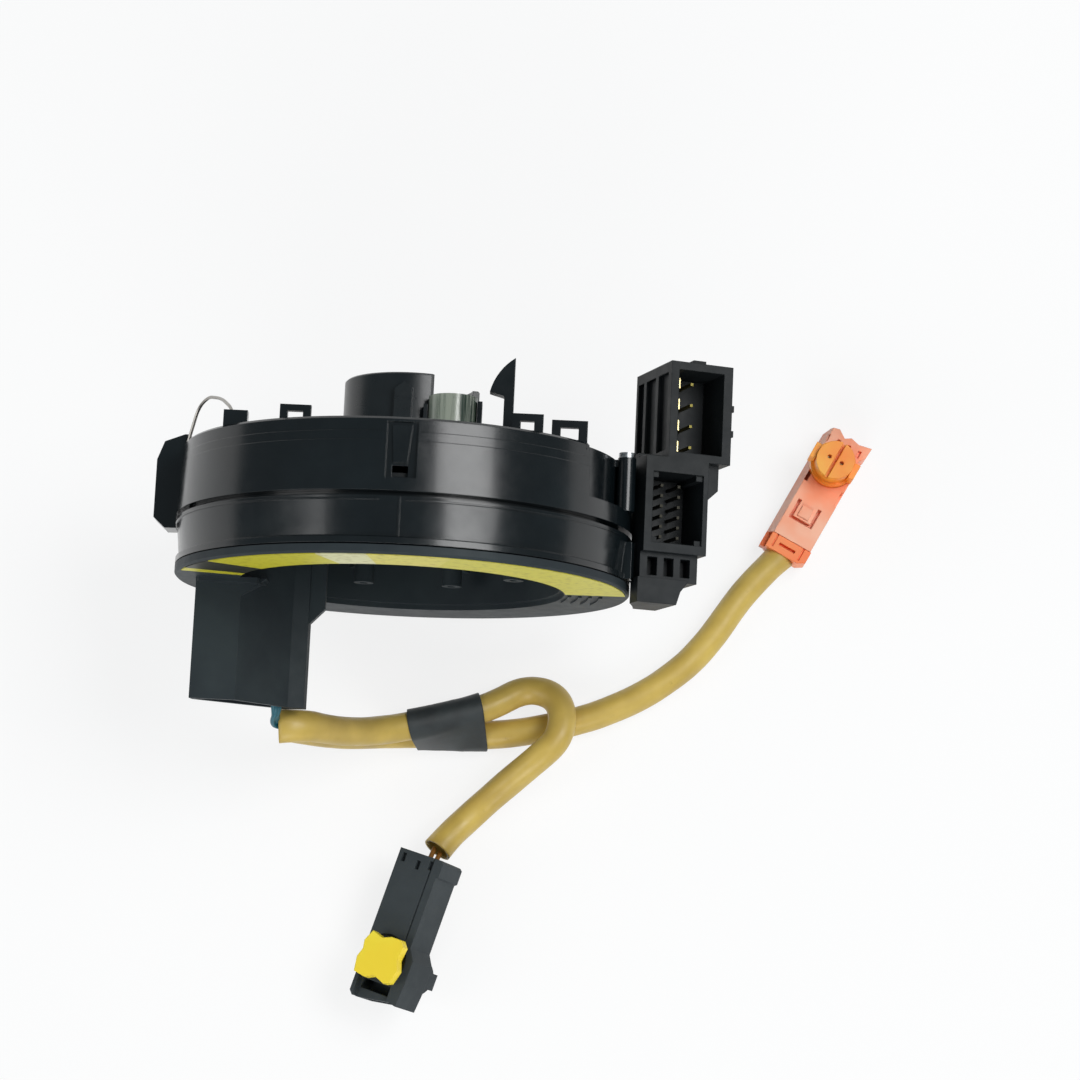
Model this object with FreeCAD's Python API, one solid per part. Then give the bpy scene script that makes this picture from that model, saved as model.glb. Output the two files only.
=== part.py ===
"""Steering clock spring with angle sensor, wheel-side tower and two airbag leads.

Frame: millimetres. The steering axis is the Y axis, the driver sits at -Y and the column at +Y.
The wheel-side face lies on y = 0 and the origin is its centre. +Z is up: the unit stands on two
latch lugs of its rim, with its leads laid on the same surface.
Angles are counted about the steering axis from +X towards +Z.
"""
import FreeCAD, Part
import math
import os

os.makedirs("parts", exist_ok=True)

V = FreeCAD.Vector
ORIGIN = V(0, 0, 0)
DRIVER = V(0, -1, 0)
COLUMN = V(0, 1, 0)
UP = V(0, 0, 1)

# Fits between pieces
run_gap = 0.3          # between pieces that turn past each other
fit_gap = 0.05         # between a piece and its seat
gear_gap = 0.10        # taken off each tooth flank pair

# Rotor, wheel side
face_r = 57.0
face_t = 2.2
opening_r = 39.6
bowl_wall = 1.8
bowl_depth = 15.3
bowl_floor = 1.8
web_t = 1.6
web_count = 8
web_h = 5.5
column_r = 2.6
column_ring_r = 30.0
column_h = 11.0

# Hub sleeve round the steering shaft
bore_r = 15.4
sleeve_wall = 1.8
collar_top = 51.8
shoulder_r = 20.0
shoulder_t = 2.9
hub_disc_r = 28.5
hub_disc_t = 1.6
collar_cut_from = -10.0
collar_cut_to = 68.6
clear_r = 6.0
clear_wall = 0.9
clear_at = (11.0, 18.5)
clear_top = 45.4

# Stator case
case_inset = 0.8
case_flare = 1.0
case_wall = 2.2
lip_h = 1.8
case_joint = 13.7
joint_gap = 1.2
cover_overhang = 0.2
cover_draft = 0.8
cover_wall = 2.0
cover_top = 32.6
deck_t = 1.8
cable_floor_t = 1.4
screw_angles = (14.0, 214.0, 326.0)
screw_inset = 0.2
screw_r = 1.0
line_rise = 0.3
post_outer_r = 2.3

# Flat cable between rotor and case
cable_t = 0.35
cable_w = 8.6
cable_turns = 3

# Angle sensor
gear_module = 0.8
ring_teeth = 60
gear_a_teeth = 28
gear_b_teeth = 26
gear_w = 4.0
gear_a_angle = 120.0
gear_b_angle = 60.0
post_r = 1.8
magnet_r = 2.9
magnet_t = 1.8
plate_t = 1.2
plate_in_r = 27.0
board_t = 1.6
board_in_r = 31.5
board_rim_gap = 3.6
seat_pad_r = 4.0
seat_pad_t = 0.4
seat_pad_in = 10.6
chip_size = 5.0
chip_t = 1.1

# Lugs, and how far the lower ones stand out to the surface
foot_out = 4.4
lug_w = 8.0
hook_w = 3.6
lug_angle = 24.0
ear_out = 6.5
guide_angle = 13.5
guide_out = 1.5
guide_w = 3.2
guide_top = 12.0

# Tower of the wheel harness
tower_end = -30.4
tower_inset = 5.6
tower_socket = 17.0
tower_root = 8.5
pin_side = 0.8

# Connector block at the right
block_out = 9.0
block_up = 14.0
block_turn = 20.0
block_back = 23.0
socket_depth = 13.0
socket_floor = 3.5
a_low = 33.4
a_high = 58.4
a_left = -1.1
a_right = 15.6
a_mouth = (1.0, 13.2, 35.4, 56.4)
b_low = 9.9
b_left = -6.9
b_right = 9.9
b_mouth = (-4.9, 8.6, 12.2, 30.0)
foot_low = -2.9

# Leads
sheath_r = 3.8
lead_r = 0.65
tape_t = 0.35
tape_gap = 0.55
bend_share = 0.45

# Orange plug, lying on its back
orange_at = V(101.15, 21.9, 0)
orange_turn = 62.4
orange_len = 38.0
orange_w = 13.0
orange_h = 9.0
orange_cap = 4.5
orange_head_r = 6.1
orange_head_h = 8.6
orange_head_at = 26.6
orange_mid = 1.2
orange_start = -1.6

# Black plug, lying rolled over on its head
black_turn = -107.0
black_roll = 27.0
black_len = 40.5
black_w = 13.0
black_h = 11.0
black_head_r = 6.1
black_head_h = 6.0
black_head_at = 30.5
black_head_side = 1.5
head_sunk = 2.4
black_rear = V(8.97, -64.97, 0)
lock_w = 12.6
lock_l = 12.0
lock_side = 1.1
lock_t = 2.6
lock_rise = 4.6
lock_at = 28.9
lock_stem = 5.2
lock_rest_gap = 0.1

# Sizes that follow from the ones above
case_low_r = face_r - case_inset
case_high_r = case_low_r + case_flare
cover_low_r = case_high_r + cover_overhang
cover_high_r = cover_low_r - cover_draft
ear_r = cover_high_r + ear_out
floor_r = cover_high_r + foot_out
floor_z = -floor_r
screw_ring_r = cover_high_r - screw_inset
tower_edge = face_r - tower_inset
block_at = V(face_r + block_out, 0, block_up)
lock_travel = lock_rise - lock_t - lock_rest_gap
sleeve_r = bore_r + sleeve_wall
bowl_r = opening_r + bowl_wall
floor_back = bowl_depth + bowl_floor
ring_y = floor_back + shoulder_t
deck_y = cover_top - deck_t
hub_disc_y = deck_y + 0.1
deck_hole_r = hub_disc_r + 0.5
case_low_y = face_t + run_gap
cover_y = case_joint + joint_gap
cover_in_r = cover_high_r - cover_wall
case_in_r = case_low_r - case_wall
cable_floor_y = case_joint - cable_floor_t + 0.9
gear_plate_y = ring_y - 0.4 - plate_t
board_y = deck_y - 0.8 - board_t
board_out_r = cover_in_r - board_rim_gap

SHEATH_BLACK = [
    (-22.4, -33.8, -24.0), (-16.8, -34.0, -31.4), (-9.6, -33.2, -39.8), (-0.6, -31.0, -46.6),
    (10.5, -28.0, -49.8), (22.6, -24.0, -52.6), (32.4, -17.8, -55.0), (41.6, -20.8, -51.2),
    (42.4, -31.2, -47.0), (35.0, -38.4, -47.8), (27.0, -45.2, -53.2), (19.4, -52.4, -55.2),
    (12.6, -59.6, -52.2), (10.4, -62.6, -51.0)]
SHEATH_ORANGE = [
    (-28.4, -33.4, -29.4), (-23.0, -34.0, -37.4), (-15.8, -33.6, -46.4), (-6.2, -32.4, -53.6),
    (6.0, -31.4, -57.1), (20.0, -31.3, -57.1), (32.0, -29.8, -57.1), (43.0, -27.3, -57.1),
    (53.5, -23.6, -57.1), (64.0, -18.3, -57.1), (74.0, -11.0, -57.1), (82.0, -1.6, -57.1),
    (88.2, 8.6, -57.0), (94.0, 15.6, -56.8), (99.8, 21.6, -56.6)]
LEAD_STEPS = (18.2, 19.9, 21.6, 23.3)
TAPE_STATIONS = (2.4, 7.4, 12.4, 17.3, 22.3)
tape_slant = 1.0


def ring(r_out, r_in, y0, y1):
    """Plain ring about the steering axis."""
    outer = Part.makeCylinder(r_out, y1 - y0, V(0, y0, 0), COLUMN)
    if r_in <= 0:
        return outer
    return outer.cut(Part.makeCylinder(r_in, y1 - y0, V(0, y0, 0), COLUMN))


def turned(points, sweep=360.0, start=0.0):
    """Section of (radius, y) points turned about the steering axis."""
    wire = Part.makePolygon([V(r, y, 0) for r, y in points] + [V(points[0][0], points[0][1], 0)])
    solid = Part.Face(wire).revolve(ORIGIN, DRIVER, sweep)
    solid.rotate(ORIGIN, DRIVER, start)
    return solid


def sector(r0, r1, a0, a1, y0, y1):
    """Part of a ring between two angles."""
    return turned([(r0, y0), (r1, y0), (r1, y1), (r0, y1)], a1 - a0, a0)


def block(x0, x1, y0, y1, z0, z1):
    return Part.makeBox(x1 - x0, y1 - y0, z1 - z0, V(x0, y0, z0))


def plan(points, y0, y1):
    """Outline of (x, z) points drawn out along the steering axis."""
    wire = Part.makePolygon([V(x, y0, z) for x, z in points] + [V(points[0][0], y0, points[0][1])])
    return Part.Face(wire).extrude(V(0, y1 - y0, 0))


def side(points, z0, z1):
    """Outline of (x, y) points drawn out upwards."""
    wire = Part.makePolygon([V(x, y, z0) for x, y in points] + [V(points[0][0], points[0][1], z0)])
    return Part.Face(wire).extrude(V(0, 0, z1 - z0))


def rod(p0, p1, r):
    return Part.makeCylinder(r, (p1 - p0).Length, p0, p1 - p0)


def at_angle(shape, angle):
    copy = shape.copy()
    copy.rotate(ORIGIN, DRIVER, angle)
    return copy


def joined(shapes):
    result = shapes[0]
    for shape in shapes[1:]:
        result = result.fuse(shape)
    return result.removeSplitter()


def polar(r, angle, y=0.0):
    a = math.radians(angle)
    return V(r * math.cos(a), y, r * math.sin(a))


def save(name, shape):
    """Write one piece, or a group of alike pieces, as a STEP file."""
    if shape.ShapeType == "Compound" and len(shape.Solids) == 1:
        shape = shape.Solids[0]
    print(name, len(shape.Solids), round(shape.Volume, 1), shape.isValid())
    shape.exportStep("parts/" + name + ".step")


def bent_path(points):
    """Straight runs joined by tangent arcs, each as large as its two runs allow."""
    nodes = [V(*p) for p in points]
    edges = []
    radii = []
    start = nodes[0]
    for before, here, after in zip(nodes, nodes[1:], nodes[2:]):
        back = before - here
        ahead = after - here
        half = (math.pi - back.getAngle(ahead)) / 2
        cut = bend_share * min(back.Length, ahead.Length)
        radius = cut / math.tan(half)
        radii.append(round(radius, 1))
        enter = here + back.normalize() * cut
        leave = here + ahead.normalize() * cut
        reach = radius / math.cos(half) - radius
        edges.append(Part.LineSegment(start, enter).toShape())
        edges.append(Part.Arc(enter, here + (back + ahead).normalize() * reach, leave).toShape())
        start = leave
    edges.append(Part.LineSegment(start, nodes[-1]).toShape())
    return Part.Wire(edges), radii


def tube(points, r, name, sides=16):
    """Tube of many flats along a bent path, with the section area of a round one of radius r."""
    path, radii = bent_path(points)
    corner_r = r * math.sqrt(2 * math.pi / (sides * math.sin(2 * math.pi / sides)))
    first = path.OrderedEdges[0]
    rim = Part.makeCircle(corner_r, first.valueAt(first.FirstParameter), first.tangentAt(first.FirstParameter))
    corners = [rim.valueAt(2 * math.pi * k / sides) for k in range(sides)]
    section = Part.Face(Part.makePolygon(corners + [corners[0]]))
    pieces = []
    for edge in path.OrderedEdges:
        if edge.Curve.TypeId == "Part::GeomLine":
            run = edge.valueAt(edge.LastParameter) - edge.valueAt(edge.FirstParameter)
            pieces.append(section.extrude(run))
            section.translate(run)
            continue
        bend = math.degrees(edge.Length / edge.Curve.Radius)
        pieces.append(section.revolve(edge.Curve.Center, edge.Curve.Axis, bend))
        section.rotate(edge.Curve.Center, edge.Curve.Axis, bend)
    solid = pieces[0].multiFuse(pieces[1:])
    share = solid.Volume / (math.pi * r * r * path.Length)
    print(name, "bend radii", radii, "length", round(path.Length, 1), "volume share", round(share, 4))
    return solid


# Rotor

def tower_outline():
    """Plan of the tower: flat front, two slanted faces and a long slanted back."""
    outline = [(0.0, 4.0), (11.4, 4.0), (23.4, -10.0), (27.4, -11.5), (27.9, -14.0), (22.4, -15.5), (0.5, 0.5)]
    return [(x - tower_edge, z) for x, z in outline]


def tower_socket_outline():
    outline = [(1.5, 2.6), (10.8, 2.6), (22.5, -10.9), (25.8, -12.2), (22.4, -13.8), (2.0, 0.9)]
    return [(x - tower_edge, z) for x, z in outline]


def tower():
    """Harness tower on the rotor's face: open socket, gussets at its foot and a rib down its front."""
    shaft = plan(tower_outline(), tower_end, bowl_depth + 0.5)
    edge = -tower_edge
    front_gusset = side([(edge + 11.2, -4.6), (edge + 17.6, 0.3), (edge + 11.2, 0.3)], -6.0, 4.0)
    right_gusset = side([(edge + 26.8, -tower_root - 1.0), (edge + 31.4, -4.7), (edge + 31.4, bowl_depth + 0.3),
                         (edge + 26.8, bowl_depth + 0.3)], -15.0, -11.8)
    foot = plan([(edge - 0.2, 3.0), (edge + 0.8, 5.4), (edge + 15.4, 5.4), (edge + 17.4, 1.0)], -1.2, 0.3)
    body = joined([shaft, front_gusset, right_gusset, foot])
    body = body.cut(ring(face_r + 5, bowl_r, face_t, floor_back + 2))
    return body.cut(plan(tower_socket_outline(), tower_end - 1, tower_end + tower_socket))


def along_socket(step, offset):
    """Point in the tower's plan, counted along the back wall of its socket and away from it."""
    wall = tower_socket_outline()
    begin = V(wall[5][0], 0, wall[5][1])
    way = (V(wall[4][0], 0, wall[4][1]) - begin).normalize()
    off = V(-way.z, 0, way.x)
    return begin + way * step + off * offset


def bowl_web(angle):
    web = block(sleeve_r + 2.5, opening_r + 0.4, bowl_depth - web_h, bowl_depth + 0.4,
                -web_t / 2, web_t / 2)
    post = Part.makeCylinder(column_r, column_h, V(column_ring_r, bowl_depth - column_h + 0.4, 0), COLUMN)
    hole = Part.makeCylinder(column_r - 1.5, column_h, V(column_ring_r, bowl_depth - column_h, 0), COLUMN)
    return at_angle(web.fuse(post).cut(hole), angle)


def flange_ridge(r, a0, a1):
    return sector(r, r + 0.9, a0, a1, -0.45, 0.4)


def rotor_housing():
    edge = 0.5
    body = turned([
        (opening_r + 1.0, 0.0), (face_r - edge, 0.0), (face_r, edge), (face_r, face_t),
        (bowl_r, face_t), (bowl_r, floor_back), (sleeve_r + fit_gap, floor_back),
        (sleeve_r + fit_gap, bowl_depth), (opening_r, bowl_depth), (opening_r, 1.4),
        (opening_r + 1.0, 1.4)])
    pieces = [body, tower()]
    for i in range(web_count):
        angle = 360.0 / web_count * (i + 0.5)
        if angle < 168 or angle > 215:
            pieces.append(bowl_web(angle))
    for k in range(4):
        pieces.append(flange_ridge(opening_r + 2.0 + 2.6 * k, -16, 0))
    return joined(pieces)


def hub_sleeve():
    """Sleeve round the shaft, with its disc in the deck and the open collar above."""
    body = turned([
        (bore_r, bowl_depth - 1.0), (sleeve_r, bowl_depth - 1.0), (sleeve_r, floor_back),
        (shoulder_r, floor_back), (shoulder_r, ring_y), (sleeve_r, ring_y),
        (sleeve_r, hub_disc_y), (hub_disc_r, hub_disc_y), (hub_disc_r, hub_disc_y + hub_disc_t),
        (sleeve_r, hub_disc_y + hub_disc_t), (sleeve_r, collar_top - 0.4),
        (sleeve_r - 0.4, collar_top), (bore_r, collar_top)])
    window = sector(bore_r - 1, sleeve_r + 1, collar_cut_from, collar_cut_to,
                    hub_disc_y + hub_disc_t, collar_top + 1)
    body = body.cut(window)
    rib = side([(-3.7, hub_disc_y), (0.8, hub_disc_y), (0.8, 47.8), (-1.4, 49.3), (-3.7, 47.4)],
               sleeve_r - 0.8, sleeve_r + 1.0)
    x, z = clear_at
    fin = block(x + clear_r + 0.1, x + clear_r + 1.3, hub_disc_y + 0.5, clear_top - 1.0, z - 2.2, z + 2.2)
    post = block(x - clear_r - 1.2, x - clear_r - 0.1, hub_disc_y + 0.5, clear_top - 2.0, z - 0.6, z + 1.4)
    for k in range(3):
        claw = at_angle(block(sleeve_r - 0.4, sleeve_r + 0.9, bowl_depth - 1.0, bowl_depth - 0.05, -2.5, 2.5),
                        40 + 120 * k)
        body = body.fuse(claw)
    body = joined([body, rib, fin, post])
    low = hub_disc_y + hub_disc_t
    body = body.cut(Part.makeCylinder(clear_r + fit_gap, clear_top, V(x, low, z), COLUMN))
    return body.cut(Part.makeCylinder(bore_r, collar_top + 1, ORIGIN, COLUMN))


def involute_gear(teeth, turn):
    """Outline of an external gear about the origin, one tooth centred on the angle turn."""
    pitch_r = gear_module * teeth / 2
    base_r = pitch_r * math.cos(math.radians(20))
    root_r = pitch_r - 1.2 * gear_module
    tip_r = pitch_r + 0.95 * gear_module
    half = math.pi / (2 * teeth) - gear_gap / (2 * pitch_r)
    spread = math.tan(math.radians(20)) - math.radians(20)
    outline = []
    flank = []
    low_r = max(base_r, root_r)
    for k in range(3):
        r = low_r + (tip_r - low_r) * k / 2
        roll = math.acos(base_r / r)
        flank.append((r, half + spread - (math.tan(roll) - roll)))
    if low_r > root_r:
        flank.insert(0, (root_r, flank[0][1]))
    for i in range(teeth):
        mid = math.radians(turn) + 2 * math.pi * i / teeth
        for r, a in flank:
            outline.append((r * math.cos(mid - a), r * math.sin(mid - a)))
        for r, a in reversed(flank):
            outline.append((r * math.cos(mid + a), r * math.sin(mid + a)))
    return outline


def ring_gear():
    """Driving gear of the sensor, keyed on the sleeve."""
    gear = plan(involute_gear(ring_teeth, 0.0), ring_y, ring_y + gear_w)
    return gear.cut(Part.makeCylinder(sleeve_r + fit_gap, gear_w + 2, V(0, ring_y - 1, 0), COLUMN))


def clear_sleeve():
    x, z = clear_at
    low = hub_disc_y + hub_disc_t
    tube_ = Part.makeCylinder(clear_r, clear_top - low, V(x, low, z), COLUMN)
    return tube_.cut(Part.makeCylinder(clear_r - clear_wall, clear_top - low - 1.0, V(x, low - 0.01, z), COLUMN))


def face_label():
    """Thin printed ring segment on the upper half of the wheel-side face."""
    return sector(opening_r + 1.4, face_r - 1.0, 3.5, 164.0, -0.2, 0.0)


def tower_pins():
    """Harness pins in two rows along the socket's back wall."""
    low = tower_end + 5
    high = tower_end + tower_socket
    half = pin_side / 2
    spots = [along_socket(3.0 + 3.3 * k, 1.3) for k in range(5)]
    spots += [along_socket(4.8 + 3.3 * k, 3.6) for k in range(4)]
    return Part.makeCompound([block(p.x - half, p.x + half, low, high, p.z - half, p.z + half) for p in spots])


# Stator

def mould_line(a0, a1, y):
    return sector(case_high_r - 1.0, case_high_r + line_rise, a0, a1, y, y + 0.35)


def lug(angle, reach):
    """Latch lug on the rim: a slanted block with a nose and an open slot behind it."""
    outline = [(cover_in_r + 0.4, 12.1), (reach - 2.9, 12.0), (reach, 14.6), (reach, 29.3),
               (reach - 1.7, 34.0), (reach - 6.7, 36.0), (cover_in_r + 0.4, 36.0)]
    body = side(outline, -lug_w / 2, lug_w / 2)
    slot = block(cover_high_r + 1.0, reach - 2.0, 17.0, 31.0, -lug_w / 2 + 1.4, lug_w / 2 + 1)
    body = body.cut(slot).cut(ring(case_high_r + run_gap, 0, 0, cover_y))
    return at_angle(body, angle)


def lower_case():
    """Case half round the flat cable, with its annular floor."""
    y0 = case_low_y
    body = turned([
        (case_in_r, y0), (face_r, y0), (face_r, y0 + lip_h - 0.3), (case_low_r, y0 + lip_h),
        (case_high_r, case_joint), (cover_in_r - 0.2, case_joint),
        (cover_in_r - 0.2, cover_y + 1.6), (case_in_r - 1.4, cover_y + 1.6),
        (case_in_r - 1.4, cable_floor_y + cable_floor_t), (bowl_r + run_gap, cable_floor_y + cable_floor_t),
        (bowl_r + run_gap, cable_floor_y), (case_in_r, cable_floor_y)])
    lines = [mould_line(94.0, 172.0, 12.6), mould_line(20.0, 87.5, 12.6)]
    seam = turned([(case_low_r - line_rise, y0 + lip_h - 0.1), (case_low_r + line_rise, y0 + lip_h - 0.1),
                   (case_high_r + line_rise, case_joint - 0.2), (case_high_r - line_rise, case_joint - 0.2)],
                  0.45, 88.8)
    guide = block(case_low_r - 1.2, case_high_r + guide_out, y0 + 0.2, guide_top, -guide_w / 2, guide_w / 2)
    guide = at_angle(guide, guide_angle)
    return joined([body, seam, guide] + lines)


def on_deck(shape, inset, angle):
    """Moves a piece that stands about the steering axis to its place inside the rim."""
    copy = shape.copy()
    copy.translate(polar(cover_high_r - inset, angle))
    return copy


def square_loop(width, high, bar, thick):
    outer = block(-width / 2, width / 2, deck_y, high, -thick / 2, thick / 2)
    hole = block(bar - width / 2, width / 2 - bar, deck_y + bar, high - bar * 0.8, -thick, thick)
    return outer.cut(hole)


def hook_claw():
    """Snap hook that catches the column switch: a straight stem under a swept barb."""
    z0 = -hook_w / 2
    stem = side([(-1.2, deck_y), (1.2, deck_y), (1.2, 51.2), (-1.2, 44.0)], z0, -z0)
    barb = [V(1.2, 51.9, z0), V(-2.7, 48.0, z0), V(-4.7, 43.4, z0)]
    edges = [Part.Arc(barb[0], barb[1], barb[2]).toShape(),
             Part.LineSegment(barb[2], V(-1.2, 42.4, z0)).toShape(),
             Part.LineSegment(V(-1.2, 42.4, z0), V(1.2, 42.4, z0)).toShape(),
             Part.LineSegment(V(1.2, 42.4, z0), barb[0]).toShape()]
    head = Part.Face(Part.Wire(edges)).extrude(V(0, 0, hook_w))
    foot = side([(1.1, deck_y), (4.0, deck_y), (1.1, 38.5)], z0, -z0)
    return joined([stem, head, foot])


def front_latch_cut():
    """Shallow slot in the cover's crown, with a square window below its tongue."""
    slot = block(-2.7, 4.5, 18.0, 31.4, cover_low_r - 1.5, cover_low_r + 2)
    window = block(-1.2, 2.5, 18.4, 21.0, cover_in_r - 2, cover_low_r + 2)
    return slot.fuse(window)


def front_latch_tongue():
    return side([(-1.0, 21.6), (2.3, 21.6), (3.2, 30.6), (-1.6, 30.6)], cover_low_r - 1.7, cover_low_r - 0.9)


def screw_recess_cut():
    return sector(cover_in_r - 1.0, cover_low_r + 4.6, 15.0, 37.5, 19.6, cover_top + 0.9)


def left_lug_slit():
    """Slit that frees the left lug from the rim, so that it can spring."""
    outer = case_high_r - 0.2
    return block(-outer, -outer + 2.2, 18.5, 31.5, lug_w / 2, lug_w / 2 + 7.0)


def cover_post(angle, r):
    x = r * math.cos(math.radians(angle))
    z = r * math.sin(math.radians(angle))
    return Part.makeCylinder(post_outer_r, 13.4, V(x, 19.6, z), COLUMN)


def cover_screw(angle):
    x, z = polar(screw_ring_r, angle)[0], polar(screw_ring_r, angle)[2]
    shank = Part.makeCylinder(screw_r, 7.0, V(x, 26.0, z), COLUMN)
    head = Part.makeCylinder(2.1, 1.3, V(x, 33.0, z), COLUMN)
    cross = block(x - 1.3, x + 1.3, 33.7, 34.5, z - 0.25, z + 0.25)
    cross = cross.fuse(block(x - 0.25, x + 0.25, 33.7, 34.5, z - 1.3, z + 1.3))
    return shank.fuse(head).cut(cross)


def cover_screws():
    return Part.makeCompound([cover_screw(a) for a in screw_angles])


def upper_cover():
    """Column-side case half: wall with stepped crown, deck, hooks, loops and lugs."""
    wall = turned([
        (cover_in_r, cover_y), (cover_low_r, cover_y), (cover_low_r - 0.4, 26.9),
        (cover_low_r - 0.55, 26.9), (cover_low_r - 0.6, 29.1), (cover_low_r - 0.75, 29.1),
        (cover_high_r, cover_top - 0.6), (cover_high_r - 0.6, cover_top),
        (deck_hole_r, cover_top), (deck_hole_r, deck_y), (cover_in_r, deck_y)])
    step = ring(cover_in_r + 0.1, cover_in_r - 1.4, cover_y + 1.7, gear_plate_y)
    pieces = [wall, step, lug(180, ear_r)]
    lug_reach = (floor_r - lug_w / 2 * math.sin(math.radians(lug_angle))) / math.cos(math.radians(lug_angle))
    pieces.append(lug(270 - lug_angle, lug_reach))
    pieces.append(lug(270 + lug_angle, lug_reach))
    pieces.append(on_deck(square_loop(7.6, 37.0, 2.2, 1.8), 3.6, 55.8))
    pieces.append(on_deck(square_loop(8.7, 37.7, 2.2, 1.8), 3.8, 40.8))
    pieces.append(on_deck(square_loop(7.4, 36.2, 1.9, 1.8), 3.7, 118.5))
    pieces.append(on_deck(block(-2.9, 2.9, deck_y, 36.5, -1.5, 1.5), 3.3, 139.6))
    pieces.append(on_deck(hook_claw(), 12.5, 55.4))
    pad = Part.makeCylinder(seat_pad_r, deck_t + seat_pad_t, V(0, deck_y, 0), COLUMN)
    for angle in (205.0, 270.0, 335.0):
        pieces.append(on_deck(pad, seat_pad_in, angle))
    pieces.append(sector(cover_in_r - 3.2, cover_in_r - 1.0, 13.0, 39.5, gear_plate_y - 0.5, deck_y + 0.4))
    body = joined(pieces)
    body = body.cut(front_latch_cut()).cut(screw_recess_cut()).cut(left_lug_slit())
    for angle in screw_angles:
        body = body.fuse(cover_post(angle, screw_ring_r))
    body = body.fuse(front_latch_tongue())
    for angle in (40.0, 90.0, 140.0):
        boss = Part.makeCylinder(2.4, 1.0, polar(46.0, angle, board_y + board_t), COLUMN)
        body = body.fuse(boss)
    for angle in screw_angles:
        spot = polar(screw_ring_r, angle, 26.0)
        body = body.cut(Part.makeCylinder(screw_r + fit_gap, 8.0, spot, COLUMN))
    return body.removeSplitter()


def gear_centre(angle, teeth):
    distance = gear_module * (ring_teeth + teeth) / 2 + fit_gap
    return polar(distance, angle)


def gear_plate():
    """Bearing plate of the sensor, with the two gear posts."""
    plate = ring(cover_in_r - 0.1, plate_in_r, gear_plate_y, gear_plate_y + plate_t)
    for angle, teeth in ((gear_a_angle, gear_a_teeth), (gear_b_angle, gear_b_teeth)):
        spot = gear_centre(angle, teeth) + V(0, gear_plate_y + plate_t - 0.1, 0)
        plate = plate.fuse(Part.makeCylinder(post_r, gear_w + 1.0, spot, COLUMN))
    notch = sector(cover_in_r - 3.4, cover_in_r + 1.4, 12.0, 40.5, gear_plate_y - 1, gear_plate_y + plate_t + 1)
    plate = plate.cut(notch)
    return plate.removeSplitter()


def sensor_gear(angle, teeth):
    """Small gear meshed with the ring gear, with a cup for its magnet."""
    centre = gear_centre(angle, teeth)
    steps = (angle + 180.0) / (360.0 / teeth)
    turn = (steps - math.floor(steps) - 0.5) * (360.0 / teeth)
    outline = [(x + centre.x, z + centre.z) for x, z in involute_gear(teeth, turn)]
    low = gear_plate_y + plate_t + 0.15
    gear = plan(outline, ring_y + 0.2, ring_y + gear_w - 0.2)
    cup_top = ring_y + gear_w + 1.0 + magnet_t
    cup = Part.makeCylinder(magnet_r + 1.1, cup_top - low, centre + V(0, low, 0), COLUMN)
    gear = gear.fuse(cup)
    bore = Part.makeCylinder(post_r + fit_gap, cup_top, centre + V(0, low - 1, 0), COLUMN)
    pocket = Part.makeCylinder(magnet_r + fit_gap, magnet_t + 1, centre + V(0, cup_top - magnet_t, 0), COLUMN)
    return gear.cut(bore).cut(pocket).removeSplitter()


def gear_magnet(angle, teeth):
    cup_top = ring_y + gear_w + 1.0 + magnet_t
    spot = gear_centre(angle, teeth) + V(0, cup_top - magnet_t, 0)
    return Part.makeCylinder(magnet_r, magnet_t, spot, COLUMN)


def sensor_board():
    return sector(board_in_r, board_out_r, 28.0, 152.0, board_y, board_y + board_t)


def hall_chips():
    chips = []
    half = chip_size / 2
    for angle, teeth in ((gear_a_angle, gear_a_teeth), (gear_b_angle, gear_b_teeth)):
        c = gear_centre(angle, teeth)
        chips.append(block(c.x - half, c.x + half, board_y - chip_t, board_y, c.z - half, c.z + half))
    return Part.makeCompound(chips)


def spiral_edges(r0, pitch, y):
    """Half-circle arcs that wind outwards in the plane of one height."""
    edges = []
    for k in range(2 * cable_turns):
        r = r0 + pitch / 2 * k
        shift = 0.0 if k % 2 == 0 else -pitch / 2
        sign = 1.0 if k % 2 == 0 else -1.0
        begin = V(shift - sign * r, y, 0)
        middle = V(shift, y, sign * r)
        finish = V(shift + sign * r, y, 0)
        edges.append(Part.Arc(begin, middle, finish).toShape())
    return edges


def flat_cable():
    """Ribbon wound between the rotor's wall and the case."""
    room = case_in_r - bowl_r - 3.0
    pitch = room / cable_turns
    y = cable_floor_y - cable_w - 0.4
    r0 = bowl_r + 1.2
    inner = spiral_edges(r0, pitch, y)
    outer = spiral_edges(r0 + cable_t, pitch, y)
    cap_in = Part.LineSegment(inner[0].Vertexes[0].Point, outer[0].Vertexes[0].Point).toShape()
    cap_out = Part.LineSegment(inner[-1].Vertexes[-1].Point, outer[-1].Vertexes[-1].Point).toShape()
    wire = Part.Wire(Part.__sortEdges__(inner + [cap_out] + outer + [cap_in]))
    return Part.Face(wire).extrude(V(0, cable_w, 0))


def cable_guide():
    """Slip film between the flat cable and the case floor."""
    return ring(case_in_r - 0.1, bowl_r + run_gap, cable_floor_y - 0.25, cable_floor_y)


def cable_clip_outer():
    return sector(case_in_r - 1.2, case_in_r, 168.0, 180.0, 4.2, cable_floor_y - 0.25)


def cable_clip_inner():
    return sector(bowl_r, bowl_r + 1.0, 184.0, 200.0, 4.2, 12.0)


def wire_bail():
    """Steel spring wire sprung between the left lug and the block on the deck."""
    r = 0.4
    points = [(-55.8, 32.4, 5.0), (-53.0, 42.2, 8.0), (-50.2, 44.2, 12.0), (-46.0, 42.4, 20.0),
              (-42.6, 38.4, 29.0), (-41.2, 35.0, 32.6)]
    return tube(points, r, "wire_bail", 8)


# Connector block

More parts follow.
